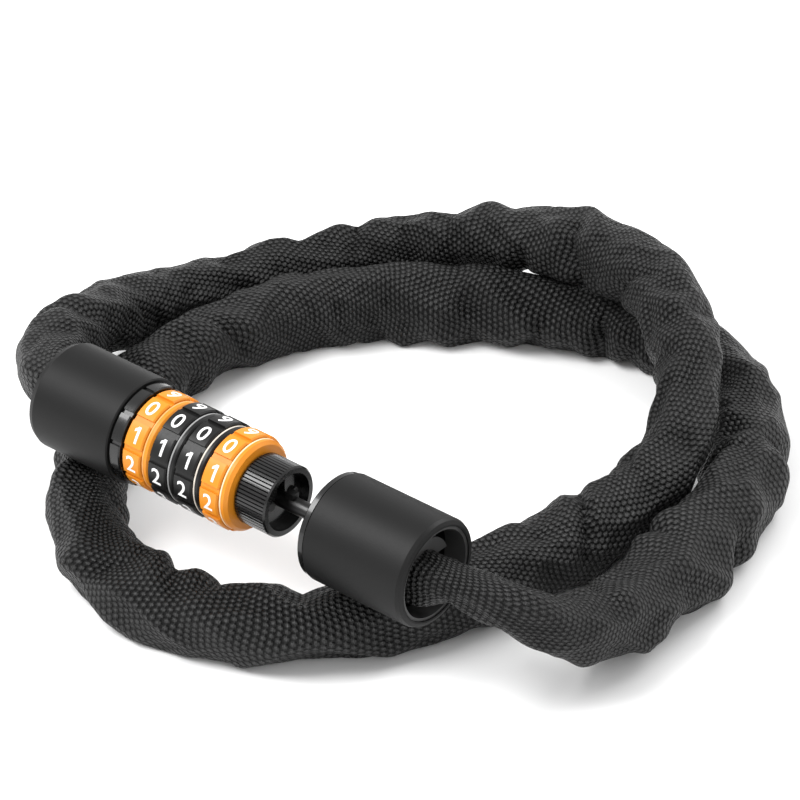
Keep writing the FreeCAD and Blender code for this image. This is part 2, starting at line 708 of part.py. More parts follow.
doc.recompute()

for piece in doc.Objects:
    if "Invalid" in piece.State or "Error" in piece.State:
        raise RuntimeError(f"{piece.Label} failed: {piece.State}")
for piece in nodes:
    if piece.Shape.isNull() or not piece.Shape.isValid() or not piece.Shape.Solids:
        raise RuntimeError(f"{piece.Label} has no sound shape")
    piece.Shape.exportStep(f"parts/{piece.Label}.step")
    box = piece.Shape.BoundBox
    print(f"{piece.Label:20s} {len(piece.Shape.Solids):3d} solids {piece.Shape.Volume:10.1f} mm3 "
          f"x {box.XMin:.1f}..{box.XMax:.1f} y {box.YMin:.1f}..{box.YMax:.1f} z {box.ZMin:.1f}..{box.ZMax:.1f}")
print(len(nodes), "nodes")
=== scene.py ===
# %% [markdown]
# # A chain lock in its woven sleeve
# The lock's hard parts, the housing, dials, nose, pin and cap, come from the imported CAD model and
# stay exactly as they are: here they only get their finishes. What CAD can't show well is made here:
# the slack woven sleeve over the chain, the numbers on the dials and the fine lines beside them.

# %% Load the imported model
import math

import bmesh
import bpy
import numpy as np
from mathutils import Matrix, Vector, noise


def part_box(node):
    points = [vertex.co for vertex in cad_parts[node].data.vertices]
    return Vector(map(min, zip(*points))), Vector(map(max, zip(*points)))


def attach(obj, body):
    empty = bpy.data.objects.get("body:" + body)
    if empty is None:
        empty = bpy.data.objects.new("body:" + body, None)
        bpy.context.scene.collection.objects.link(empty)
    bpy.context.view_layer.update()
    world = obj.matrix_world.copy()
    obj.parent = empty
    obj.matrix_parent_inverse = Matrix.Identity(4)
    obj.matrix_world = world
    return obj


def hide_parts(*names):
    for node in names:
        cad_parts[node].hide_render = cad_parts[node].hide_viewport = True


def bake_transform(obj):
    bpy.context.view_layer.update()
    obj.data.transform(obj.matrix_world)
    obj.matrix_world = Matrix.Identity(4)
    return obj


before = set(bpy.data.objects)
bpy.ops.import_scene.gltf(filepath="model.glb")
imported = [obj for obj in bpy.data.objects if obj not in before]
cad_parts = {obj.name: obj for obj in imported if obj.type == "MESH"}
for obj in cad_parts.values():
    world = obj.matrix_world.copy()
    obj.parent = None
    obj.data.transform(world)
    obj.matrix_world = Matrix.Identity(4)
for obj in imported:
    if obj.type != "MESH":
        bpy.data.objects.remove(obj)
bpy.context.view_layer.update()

MM = 0.001

# %% [markdown]
# ## Camera
# A product picture of a small object is usually taken with a long lens from a good metre away, so
# that near and far strands of the chain keep about the same width. The camera stands to the front
# right and looks down on the lock.

# %% Camera
AZIMUTH, ELEVATION = math.radians(39.577), math.radians(34.084)
toward_camera = Vector((math.sin(AZIMUTH) * math.cos(ELEVATION),
                        -math.cos(AZIMUTH) * math.cos(ELEVATION), math.sin(ELEVATION)))
camera_data = bpy.data.cameras.new("camera")
camera_data.lens, camera_data.sensor_width = 184.5, 36
camera_data.clip_start, camera_data.clip_end = 0.05, 20
camera = bpy.data.objects.new("camera", camera_data)
camera.location = Vector((0.2150, -0.25951, 0.2559)) + toward_camera * 0.859
camera.rotation_euler = (-toward_camera).to_track_quat("-Z", "Y").to_euler()
bpy.context.scene.collection.objects.link(camera)
bpy.context.scene.camera = camera
print("camera at", [round(x, 3) for x in camera.location])

# %% [markdown]
# ## The sleeve's line
# The sleeve is one long limp tube with a chain in it. It leaves the housing's rear, goes round
# twice and comes back into the cap. Its middle line is a smooth NURBS curve through space: each
# point pulls the curve towards itself, so a few points give long easy bends.

# %% Route of the sleeve
ROUTE = [
    (-55, -75, 39.6), (-71, -75, 39.6), (-85, -68, 37), (-101, -43.5, 30), (-112.5, -6, 17),
    (-105, 34, 11.5), (-84, 66, 12), (-54, 94, 20), (-14, 102.5, 32), (23, 97, 37), (50, 79, 37),
    (71, 55, 30), (80, 29, 17.5), (74.5, -2.5, 11.2), (64.5, -41, 11), (52, -74, 11),
    (26, -101, 11), (-10, -110.5, 11), (-46, -96, 11), (-74.5, -58, 11), (-87, -12, 11),
    (-80, 30, 11), (-62, 56.5, 11), (-29, 80, 11.2), (9, 101, 11), (46, 104, 11.2), (78, 80, 11),
    (97.8, 46.7, 11), (105.4, 8, 11.2), (109.5, -32, 14), (109, -57, 24.5), (103.5, -67.5, 34),
    (94, -73.5, 38.5), (80.5, -74.8, 39.7), (66, -75, 39.6),
]


def line_through(route):
    """Points close together along the NURBS curve that these control points make, in metres."""
    data = bpy.data.curves.new("sleeve_line", "CURVE")
    data.dimensions = "3D"
    spline = data.splines.new("NURBS")
    spline.points.add(len(route) - 1)
    for point, (x, y, z) in zip(spline.points, route):
        point.co = (x * MM, y * MM, z * MM, 1)
    spline.order_u = 3
    spline.use_endpoint_u = True
    spline.resolution_u = 24
    carrier = bpy.data.objects.new("sleeve_line", data)
    bpy.context.scene.collection.objects.link(carrier)
    bpy.context.view_layer.update()
    mesh = bpy.data.meshes.new_from_object(carrier.evaluated_get(bpy.context.evaluated_depsgraph_get()))
    found = np.array([v.co for v in mesh.vertices], float)
    bpy.data.objects.remove(carrier)
    bpy.data.meshes.remove(mesh)
    return found


def evenly(points, step):
    """The same line with its points a fixed step apart, and how far along each one is."""
    walked = np.concatenate([[0], np.cumsum(np.linalg.norm(np.diff(points, axis=0), axis=1))])
    along = np.linspace(0, walked[-1], int(round(walked[-1] / step)) + 1)
    return np.stack([np.interp(along, walked, points[:, k]) for k in range(3)], 1), along


STEP = 1.25 * MM  # between two rings of the sleeve
centres, along = evenly(line_through(ROUTE), STEP)
print(f"sleeve line {along[-1]:.3f} m in {len(along)} rings")

# %% [markdown]
# ## A frame for every ring
# To draw a ring round the line, each station needs a sideways and an upward direction. Taking the
# side as level everywhere keeps the rings from twisting, and makes it easy to say "underneath".

# %% Directions along the sleeve
BEND_STATIONS = 17  # rings that each measure of the bend is averaged over

ahead = np.gradient(centres, axis=0)
ahead /= np.linalg.norm(ahead, axis=1)[:, None]
side = np.cross(ahead, [0, 0, 1.0])
side /= np.linalg.norm(side, axis=1)[:, None]
above = np.cross(side, ahead)
bending = np.gradient(ahead, axis=0) / STEP
window = np.hanning(BEND_STATIONS) / np.hanning(BEND_STATIONS).sum()
padded = np.pad(bending, ((BEND_STATIONS // 2, BEND_STATIONS // 2), (0, 0)), "edge")
bending = np.stack([np.convolve(padded[:, k], window, "valid") for k in range(3)], 1)
print(f"tightest bend {1000 / np.linalg.norm(bending, axis=1).max():.0f} mm")

# %% [markdown]
# ## The slack fabric
# The sleeve is a woven tube a little too wide for its chain. Each link stands across the one before
# it, so the cloth is propped at two opposite corners in turn, and from each corner straight ridges
# run to the next ones. Between the ridges it sags into shallow diamonds. Where the chain turns, the
# cloth on the inside has too much length and puckers into short bumps with sharp notches.

# %% How wide the sleeve is along its way
# How far along the sleeve, and its half width there, in millimetres.
GIRTH = [
    (0, 9.5), (15, 9.5), (35, 11.4), (60, 12.5), (90, 13), (130, 12.2), (200, 11.9), (250, 13.4),
    (300, 12.2), (360, 11.3), (410, 13.2), (440, 13.4), (470, 12.2), (530, 12.6), (570, 13.6), (610, 13),
    (650, 13.2), (690, 14), (760, 13.6), (835, 13.4), (870, 12.8), (900, 12.6), (950, 13.4), (970, 14.2),
    (1010, 14.2), (1040, 13.3), (1065, 12.2), (1085, 10.4), (1100, 8.8), (1112, 7.4), (1136, 7),
]
AROUND = 96  # points in a ring
USUAL_GIRTH = 12.0  # mm, which turns an angle into a distance round the sleeve
SEED_STEP = 7.3  # keeps the patterns of two seeds apart
total = along[-1]
angle = np.linspace(0, 2 * math.pi, AROUND, endpoint=False)
rng = np.random.default_rng(11)
way = along / MM
girth = np.interp(way, *zip(*GIRTH))
print(f"half widths {girth.min():.1f} to {girth.max():.1f} mm")


def soft_noise(scale_along, scale_round, seed, twist=0.0):
    """Smooth noise between -1 and 1 on the tube: stations down, angles across. Scales are in mm."""
    out = np.empty((len(way), AROUND))
    for i, distance in enumerate(way):
        turned = angle + twist * distance
        for j, t in enumerate(turned):
            out[i, j] = noise.noise((distance / scale_along + seed,
                                     scale_round * math.cos(t) + SEED_STEP * seed,
                                     scale_round * math.sin(t)))
    return out


# %% Ridges between the corners of the links
LINK_PITCH = 17.6  # mm from one link to the next
LINK_TURN = 0.14  # radians that a link is turned by chance
LINK_STRAY = 0.16  # how far it strays along the sleeve, as a share of the pitch
CORNER_STRAY = 2  # mm that one of its corners strays
RIDGE_SAG, RIDGE_EDGE = 0.35, 1.15  # how far a ridge sags between its corners, how sharp it is
NEXT_RIDGE, SECOND_RIDGE = 2.6, 2.4  # mm high, to the next link and to the one after it


def corners():
    """Where the links prop the cloth: station and angle of each corner, link by link."""
    found, lean = [], 0.0
    for number in range(-1, int(way[-1] / LINK_PITCH) + 2):
        lean += rng.normal(0, LINK_TURN)
        middle = (number + 0.5 + rng.uniform(-LINK_STRAY, LINK_STRAY)) * LINK_PITCH
        across = math.pi / 4 + (number % 2) * math.pi / 2 + lean
        opposite = middle + rng.uniform(-CORNER_STRAY, CORNER_STRAY)
        found.append([(middle, across), (opposite, across + math.pi)])
    return found


def ridge(field, start, end, height, spread):
    """Raises the cloth along a straight fold from one corner to another."""
    (s0, a0), (s1, a1) = start, end
    a1 = a0 + math.remainder(a1 - a0, 2 * math.pi)
    rows = np.flatnonzero((way > min(s0, s1) - spread) & (way < max(s0, s1) + spread))
    if not len(rows):
        return
    line = np.array([s1 - s0, (a1 - a0) * USUAL_GIRTH])
    for turn in (-2 * math.pi, 0, 2 * math.pi):
        round_it = (angle[None, :] + turn - a0) * USUAL_GIRTH
        at = np.stack(np.broadcast_arrays(way[rows][:, None] - s0, round_it), 2)
        part = np.clip((at @ line) / (line @ line), 0, 1)
        off = np.linalg.norm(at - part[..., None] * line, axis=2)
        sag = 1 - RIDGE_SAG * np.sin(math.pi * part)
        bump = height * sag * np.clip(1 - off / spread, 0, 1) ** RIDGE_EDGE
        field[rows] = np.maximum(field[rows], bump)


props = corners()
ridges = np.zeros((len(way), AROUND))
for here, following in zip(props, props[1:]):
    for corner in here:
        for other in following:
            ridge(ridges, corner, other, NEXT_RIDGE * rng.choice([0.35, 0.8, 1.0, 1.1]),
                  rng.uniform(7, 10))
for here, second in zip(props, props[2:]):
    for corner, other in zip(here, second):
        ridge(ridges, corner, other, SECOND_RIDGE * rng.choice([0, 0.5, 1.0]), rng.uniform(5, 8))
print(f"ridges stand {ridges.max():.1f} mm, {np.median(ridges):.1f} mm in the middle")

# %% Puckers on the inside of each bend, and chance folds
CLOTH_REACH = 14  # mm from the middle line to the cloth
FULL_SQUEEZE = 0.3  # the share of length at which the cloth is fully puckered
PUCKER_PITCH = 10.5  # mm from one pucker to the next
# How many millimetres each cause moves the cloth in or out.
RIDGED, PUCKERED, SWOLLEN, FOLDED, CRUMPLED, TAUT = 0.85, 2.1, 1.5, 0.9, 0.25, 0.3
RIDGE_LEVEL, PUCKER_LEVEL = 1.3, 0.62  # what counts as neither in nor out

bend_to_side, bend_upward = (bending * side).sum(1)[:, None], (bending * above).sum(1)[:, None]
inward_side = bend_to_side * np.cos(angle) + bend_upward * np.sin(angle)
shortened = inward_side * CLOTH_REACH * MM
squeeze = np.clip(shortened, 0, FULL_SQUEEZE) / FULL_SQUEEZE
stretch = np.clip(-shortened, 0, FULL_SQUEEZE) / FULL_SQUEEZE
wander = soft_noise(28, 0.9, 2.2)
patchy = np.clip(0.45 + 1.6 * soft_noise(35, 0.8, 3.9), 0, 1)
uneven = way[:, None] + 9 * wander + 2.5 * np.sin(2 * angle)[None, :]
notch = np.abs(np.sin(math.pi * uneven / PUCKER_PITCH)) ** 0.7
folds = -np.abs(soft_noise(26, 1.1, 5.7, twist=0.03)) * 4.0 + 0.85
small_folds = -np.abs(soft_noise(10, 2.2, 8.1, twist=-0.05)) * 3.0 + 0.6
slow = soft_noise(60, 0.5, 3.1)
tilt = 1.2 * math.pi * soft_noise(90, 0.05, 4.4)
flat = 0.05 * np.cos(2 * (angle[None, :] - tilt))
lumps = RIDGED * (ridges - RIDGE_LEVEL) * (1 - 0.55 * squeeze)
lumps += PUCKERED * squeeze * patchy * (notch - PUCKER_LEVEL)
lumps += SWOLLEN * slow + FOLDED * np.clip(folds, -1.1, 0.8) + CRUMPLED * np.clip(small_folds, -0.9, 0.8)
lumps -= TAUT * stretch
print(f"{(squeeze > 0.3).mean():.0%} of the fabric puckers,",
      f"lumps are {lumps.min():.1f} to {lumps.max():.1f} mm")

# %% Folds across the sleeve
FIRST_FOLD, LAST_STRETCH = 30.0, 60  # mm from either end that stay without folds


def crease(middle, facing, lean, depth, width, span):
    """A sharp valley part of the way round, with a soft roll on each side of it."""
    turned = np.angle(np.exp(1j * (angle - facing)))
    off = np.abs(way[:, None] - middle - lean * USUAL_GIRTH * turned[None, :])
    fade = np.cos(np.clip(turned / span, -1, 1) * math.pi / 2)[None, :] ** 0.7
    roll = 0.6 * np.exp(-((off - 2.4 * width) / (1.5 * width)) ** 2)
    return depth * fade * (roll - np.exp(-off / width))


place = FIRST_FOLD
while place < way[-1] - LAST_STRETCH:
    station = int(np.searchsorted(way, place))
    inside_bend = angle[int(inward_side[station].argmax())]
    facing = inside_bend + rng.normal(0, 0.9) if rng.uniform() < 0.6 else rng.uniform(0, 2 * math.pi)
    lumps += crease(place, facing, lean=rng.uniform(-0.7, 0.7), depth=rng.uniform(1.1, 2.7),
                    width=rng.uniform(2.2, 4.4), span=rng.uniform(1.1, 2.2))
    place += rng.uniform(12, 30)
print(f"with folds the lumps are {lumps.min():.1f} to {lumps.max():.1f} mm")

# %% The sleeve's radius before it meets anything
GIRTH_SLACK = 1.0  # mm between the half width that shows and the ring under its folds
LARGEST, CAP_MOUTH = 15.7, 11.5  # the greatest radius in mm, on the way and inside the cap
STUFFED, STUFFED_EASE = 17, 8  # mm of the end that is stuffed into the cap, and how soon it starts
LOW_FRONT = math.radians(232)  # where round the sleeve the stuffed cloth bulges most

in_cap = np.clip((way - (way[-1] - STUFFED)) / STUFFED_EASE, 0, 1)[:, None]
towards_low_front = 0.5 + 0.5 * np.cos(angle - LOW_FRONT)[None, :]
bunched = 1.6 * soft_noise(7, 1.6, 1.7) + 0.6 * np.cos(5 * angle)[None, :]
stuffed = in_cap * (4.6 * towards_low_front + bunched)
calm = np.clip(girth[:, None] / USUAL_GIRTH, 0.45, 1.1)
radius = (girth[:, None] - GIRTH_SLACK) * (1 + flat) + lumps * calm + stuffed
radius = np.minimum(radius, LARGEST - (LARGEST - CAP_MOUTH) * (in_cap > 0)) * MM
print(f"slack fabric radius {radius.min() / MM:.1f} to {radius.max() / MM:.1f} mm")

# %% [markdown]
# ## Keeping clear
# Cloth that meets something gives way. Each point of a ring is pulled in until it is above the floor,
# outside the housing and the cap, and on its own side of the plane halfway to any other strand.

# %% Contact with the floor, the barrels and other strands
FLOOR_GAP, STRAND_GAP = 0.25 * MM, 0.15 * MM
SAME_STRAND, NEAR = 45 * MM, 34 * MM  # along the sleeve, and through the air between two strands
AXIS_Y, AXIS_Z = -75 * MM, 39.6 * MM  # the lock's axis
# Where they start and end along X, and their radius: the housing, the dials, and the cap.
BARRELS = [
    (-72 * MM, -36 * MM, 17.25 * MM), (-36 * MM, 9 * MM, 15.6 * MM), (36 * MM, 77.5 * MM, 17.25 * MM),
]
INTO_HOUSING, INTO_CAP = 30 * MM, 62 * MM  # the stretches that go into the lock
PULL, PULLS = 0.35 * MM, 6  # how far a point gives way at a time, and how often


def directions():
    """Which way each point of each ring lies from the middle."""
    to_the_side = side[:, None, :] * np.cos(angle)[None, :, None]
    return to_the_side + above[:, None, :] * np.sin(angle)[None, :, None]


def pressed(radius):
    """The radius that leaves every point above the floor and clear of other strands."""
    out = radius.copy()
    rays = directions()
    drop = rays[..., 2]
    floor_limit = np.where(drop < -1e-3, (centres[:, None, 2] - FLOOR_GAP) / np.maximum(-drop, 1e-3), 1)
    out = np.minimum(out, floor_limit)
    for i in range(len(along)):
        apart = centres - centres[i]
        far = np.abs(along - along[i]) > SAME_STRAND
        gaps = np.where(far, np.linalg.norm(apart, axis=1), 1)
        for j in np.flatnonzero(gaps < NEAR)[::4]:
            reach = rays[i] @ (apart[j] / gaps[j])
            limit = (gaps[j] / 2 - STRAND_GAP) / np.maximum(reach, 1e-3)
            out[i] = np.where(reach > 0.05, np.minimum(out[i], limit), out[i])
    return out


def clear_of_barrels(radius):
    """Pulls points out of the housing, dials and cap, except on the stretches that go into them."""
    out = radius.copy()
    rays = directions()
    middle = (along > INTO_HOUSING) & (along < total - INTO_CAP)
    for _ in range(PULLS):
        at = centres[:, None, :] + rays * out[..., None]
        off = np.hypot(at[..., 1] - AXIS_Y, at[..., 2] - AXIS_Z)
        for low, high, barrel in BARRELS:
            inside = (at[..., 0] > low) & (at[..., 0] < high) & (off < barrel) & middle[:, None]
            out = np.where(inside, out - PULL, out)
    return out


def smoothed(field):
    """Each value averaged with its neighbours, round the ring and along the sleeve."""
    field = (field + np.roll(field, 1, 1) + np.roll(field, -1, 1)) / 3
    padded = np.pad(field, ((1, 1), (0, 0)), "edge")
    return (padded[:-2] + padded[1:-1] + padded[2:]) / 3


within = pressed(radius)
radius = np.minimum(smoothed(clear_of_barrels(within)), within)
surface = centres[:, None, :] + directions() * radius[..., None]
print(f"after contact {radius.min() / MM:.1f} to {radius.max() / MM:.1f} mm",
      f"with {np.median(radius) / MM:.1f} in the middle")

# %% [markdown]
# ## Two lengths of one tube
# The cap slides, so the last few centimetres of the sleeve have to shear as it moves. The tube is
# therefore two meshes that meet in one ring: the long one rides on the lock, the short one runs
# between lock and cap. Both keep the normals of the whole surface, so the joint doesn't show.

# %% The surface's normals and the map of its cloth
YARN_ALONG, YARNS_ROUND = 1.8, 38  # mm from row to row, and beads in a row
PULLED = 5  # mm that the rows are pulled out of line
TWISTED, TWIST_LENGTH = 3.5, 41  # beads that the rows twist to and fro, over mm of the sleeve


def surface_normals(points):
    """Outward normals at the points of the rings."""
    run = np.gradient(points, axis=0)
    turn = np.roll(points, -1, 1) - np.roll(points, 1, 1)
    out = np.cross(turn, run)
    out /= np.maximum(np.linalg.norm(out, axis=2), 1e-12)[..., None]
    outward = (out * (points - centres[:, None, :])).sum(2).mean()
    return out if outward > 0 else -out


normals = surface_normals(surface)
pulled = soft_noise(60, 0.7, 6.3) * PULLED
cloth_along = (way[:, None] + np.concatenate([pulled, pulled[:, :1]], 1)) / YARN_ALONG
cloth_round = np.arange(AROUND + 1)[None, :] * YARNS_ROUND / AROUND
cloth_round = cloth_round + TWISTED * np.sin(way / TWIST_LENGTH)[:, None]
cloth_map = np.stack([cloth_along, cloth_round], 2)
print(f"{cloth_along.max():.0f} rows of yarn along the sleeve, {YARNS_ROUND} round it")

# %% Build the sleeve
CUT_Y, CUT_AFTER = -45.5 * MM, total - 110 * MM  # the parting is near the end, at this Y


def tube_mesh(name, first, last):
    """A closed tube through rings first to last, with a map that counts its yarns."""
    rings = last - first + 1
    points = surface[first:last + 1].reshape(-1, 3)
    faces = []
    for i in range(rings - 1):
        for j in range(AROUND):
            k = (j + 1) % AROUND
            faces.append((i * AROUND + j, i * AROUND + k, (i + 1) * AROUND + k, (i + 1) * AROUND + j))
    faces.append(tuple(range(AROUND))[::-1])
    faces.append(tuple((rings - 1) * AROUND + j for j in range(AROUND)))
    mesh = bpy.data.meshes.new(name)
    mesh.from_pydata(points.tolist(), [], faces)
    layer = mesh.uv_layers.new(name="cloth")
    places = []
    for i in range(first, last):
        for j in range(AROUND):
            places += [cloth_map[i, j], cloth_map[i, j + 1],
                       cloth_map[i + 1, j + 1], cloth_map[i + 1, j]]
    places += [(0, 0)] * (2 * AROUND)
    layer.data.foreach_set("uv", np.array(places, np.float32).ravel())
    mesh.polygons.foreach_set("use_smooth", [True] * len(faces))
    mesh.update()
    volume = sum(mesh.vertices[f.vertices[0]].co.dot(f.normal) * f.area for f in mesh.polygons)
    if volume < 0:
        mesh.flip_normals()
    mesh.normals_split_custom_set_from_vertices(normals[first:last + 1].reshape(-1, 3).tolist())
    piece = bpy.data.objects.new(name, mesh)
    bpy.context.scene.collection.objects.link(piece)
    return piece


late = np.flatnonzero(along > CUT_AFTER)
cut = int(late[np.argmin(np.abs(centres[late, 1] - CUT_Y))])
sleeve = tube_mesh("sleeve_fabric", 0, cut)
sleeve_tail = tube_mesh("sleeve_tail_fabric", cut, len(along) - 1)
print("sleeve", len(sleeve.data.vertices), "points, tail", len(sleeve_tail.data.vertices))

# %% Say what moves with what
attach(sleeve, "lock")
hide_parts("sleeve", "chain_links")
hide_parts("sleeve_tail", "chain_tail_links")
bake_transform(sleeve_tail)

# %% [markdown]
# ## Writing finishes as sums
# A finish is a graph of nodes. It reads better as arithmetic, so one small class wraps a socket:
# adding or multiplying two of them makes the Math node that does it.


# %% Shader arithmetic
class Value:
    """An output socket of a finish. Sums and products of values add Math nodes."""

    def __init__(self, finish, socket):
        self.finish, self.socket = finish, socket

    def sum_of(self, operation, *others):
        return self.finish.node("ShaderNodeMath", {"operation": operation}, *others)

    def __add__(self, other): return self.sum_of("ADD", self, other)
    def __radd__(self, other): return self.sum_of("ADD", other, self)
    def __sub__(self, other): return self.sum_of("SUBTRACT", self, other)
    def __rsub__(self, other): return self.sum_of("SUBTRACT", other, self)
    def __mul__(self, other): return self.sum_of("MULTIPLY", self, other)
    def __truediv__(self, other): return self.sum_of("DIVIDE", self, other)
    def __pow__(self, other): return self.sum_of("POWER", self, other)
    def __abs__(self): return self.sum_of("ABSOLUTE", self)


class Finish:
    """A material with one Principled shader, whose constants are set when it is made."""

    def __init__(self, name, **constants):
        self.material = bpy.data.materials.new(name)
        self.material.use_nodes = True
        self.tree = self.material.node_tree
        self.shader = next(n for n in self.tree.nodes if n.type == "BSDF_PRINCIPLED")
        self.set(**constants)

    def set(self, **inputs):
        for name, value in inputs.items():
            self.plug(self.shader.inputs[name.replace("_", " ")], value)

    def plug(self, socket, value):
        if isinstance(value, Value):
            self.tree.links.new(value.socket, socket)
        else:
            socket.default_value = value

    def node(self, kind, settings, *ordered, **named):
        """Any node: its settings first, then its sockets in order or by identifier."""
        made = self.tree.nodes.new(kind)
        for name, value in settings.items():
            setattr(made, name, value)
        for socket, value in zip(made.inputs, ordered):
            self.plug(socket, value)
        for name, value in named.items():
            named_so = (s for s in made.inputs if name in (s.identifier, s.name.replace(" ", "_")))
            self.plug(next(named_so), value)
        return Value(self, made.outputs[0])

    def blend(self, factor, one, two):
        """A colour between two colours."""
        mixed = self.node("ShaderNodeMix", {"data_type": "RGBA"},
                          Factor_Float=factor, A_Color=one, B_Color=two)
        mixed.socket = mixed.socket.node.outputs[2]
        return mixed

    def grain(self, scale, detail=3.0, roughness=0.5):
        """Noise fixed to the piece itself, with a scale in turns per metre."""
        place = self.node("ShaderNodeTexCoord", {})
        place.socket = place.socket.node.outputs["Object"]
        return self.node("ShaderNodeTexNoise", {},
                         Vector=place, Scale=scale, Detail=detail, Roughness=roughness)

    def bumped(self, height, depth, strength=1.0):
        """Puts a height, from 0 to 1, on the surface with that depth in metres."""
        self.set(Normal=self.node("ShaderNodeBump", {},
                                  Strength=strength, Distance=depth, Height=height))


def grey(value):
    return (value, value, value, 1)


print("finishes are ready to be mixed")

# %% [markdown]
# ## Woven polyester
# The cloth is a weave of thick black yarn. Each crossing is a bead nearly 2 mm long, and the beads of
# one row sit beside the gaps of the next, like a honeycomb. Three waves that cross at the angles of a
# honeycomb add up to exactly that: a round bead in every cell, and the deepest dark at its corners.
# The near-black colour in the gaps between beads is painted shade, and the fine sparkle on the bead
# tops is painted highlight.

# %% Woven sleeve
weave = Finish("woven_polyester", Specular_IOR_Level=0.24)
cloth = weave.node("ShaderNodeUVMap", {"uv_map": "cloth"})
split = weave.node("ShaderNodeSeparateXYZ", {}, cloth)
drift = weave.grain(70, 2.0) - 0.5
row = split + drift * 0.5
bead = Value(weave, split.socket.node.outputs["Y"]) + drift * 0.35


def wave(turns):
    return weave.node("ShaderNodeMath", {"operation": "COSINE"}, turns * (2 * math.pi))


ALONG_WEIGHT, RAISED, FULL = 1.25, 1.6, 4.85  # bring the sum of the waves to between 0 and 1
BEAD_ROUNDNESS, BEAD_TOP = 0.42, 0.86  # wide round beads, a little flattened on top
comb = wave(row) * ALONG_WEIGHT + wave(row * 0.5 + bead) + wave(row * 0.5 - bead)
comb = (comb + RAISED) / FULL
height = weave.node("ShaderNodeMath", {"operation": "MINIMUM"}, abs(comb) ** BEAD_ROUNDNESS, BEAD_TOP)
fuzz = weave.grain(1100, 2.0)
filament = wave(row * 3 + wave(bead) * 0.12) * 0.5 + 0.5
weave.bumped(height + filament * 0.08 + fuzz * 0.14, 1.5 * MM)
tone = weave.grain(22, 3.0)
sparkle = weave.grain(2400, 1.0)
# Painted light: sparkle puts painted glints on the bead tops, and shadowed paints the gaps between beads
# near black as painted shade.
lit = weave.blend(sparkle * 2.2 + tone * 0.8 - 1.0, grey(0.010), grey(0.046))
shadowed = weave.node("ShaderNodeMapRange", {}, height * (filament * 0.22 + 0.78), 0.40, 0.74, 0.0, 1.0)
weave.set(Base_Color=weave.blend(shadowed, grey(0.0004), lit),
          Roughness=0.50 - height * 0.08 + fuzz * 0.1)
for piece in (sleeve, sleeve_tail):
    piece.data.materials.append(weave.material)
print(len(weave.tree.nodes), "nodes in the weave")

# %% [markdown]
# ## Painted and moulded parts
# The housing and the cap are die-cast and have a fine, dull powder coat. The rings, the nose and the
# insert are gloss black, and the dials are moulded in plastic: two orange and two black.

# %% Powder coat on the housing and the cap
coat = Finish("powder_coat", Specular_IOR_Level=0.2)
pimples = coat.grain(2600, 2.0, 0.6)
cloudy = coat.grain(30, 3.0)
coat.bumped(pimples, 0.035 * MM, 0.7)
coat.set(Base_Color=coat.blend(cloudy, grey(0.004), grey(0.006)),
         Roughness=0.42 + pimples * 0.12 + cloudy * 0.06)

# %% Gloss black
gloss = Finish("gloss_black", Specular_IOR_Level=0.35, Coat_Roughness=0.06, Coat_Weight=0.25)
smear = gloss.grain(120, 4.0)
gloss.bumped(smear, 0.02 * MM, 0.5)
gloss.set(Base_Color=gloss.blend(smear, grey(0.003), grey(0.006)), Roughness=0.16 + smear * 0.16)

# %% Black inside the cap's mouth: a satin finish whose colour is lightened as painted reflection
mouth_painted_reflection = Finish("dull_black", Specular_IOR_Level=0.5)
rub = mouth_painted_reflection.grain(200, 4.0)
mouth_painted_reflection.bumped(rub, 0.03 * MM, 0.5)
# The base colour is several times lighter than the other blacks. This is painted reflection for the
# light that the shaded mouth gives back.
mouth_painted_reflection.set(Base_Color=mouth_painted_reflection.blend(rub, grey(0.025), grey(0.05)), Roughness=0.34 + rub * 0.2)

# %% Orange and black dials
def dial_plastic(name, low, high, roughness, gloss_level):
    """Moulded plastic: a faint flow in the colour, a fine satin surface."""
    made = Finish(name, Specular_IOR_Level=gloss_level)
    flow, satin = made.grain(90, 3.0), made.grain(1500, 2.0)
    made.bumped(satin * 0.5 + flow * 0.5, 0.03 * MM, 0.6)
    made.set(Base_Color=made.blend(flow, low, high), Roughness=roughness + satin * 0.12)
    return made


orange = dial_plastic("orange_plastic", (0.62, 0.20, 0.010, 1), (0.72, 0.26, 0.018, 1), 0.34, 0.3)
black = dial_plastic("black_plastic", grey(0.004), grey(0.007), 0.30, 0.28)

# %% Bare metals
def bare_metal(name, colour, darker, roughness):
    """Bare metal: fine scratches and a faint stain."""
    made = Finish(name, Metallic=1.0)
    scratch, stain = made.grain(700, 2.0), made.grain(60, 4.0)
    made.bumped(scratch, 0.01 * MM, 0.5)
    made.set(Base_Color=made.blend(stain, colour, darker), Roughness=roughness + scratch * 0.18)
    return made


steel = bare_metal("bright_steel", grey(0.50), grey(0.36), 0.22)
dark_steel = bare_metal("blackened_steel", grey(0.055), grey(0.030), 0.28)
zinc = bare_metal("cast_zinc", grey(0.30), grey(0.22), 0.45)
brass = bare_metal("brass", (0.60, 0.42, 0.15, 1), (0.45, 0.30, 0.10, 1), 0.30)

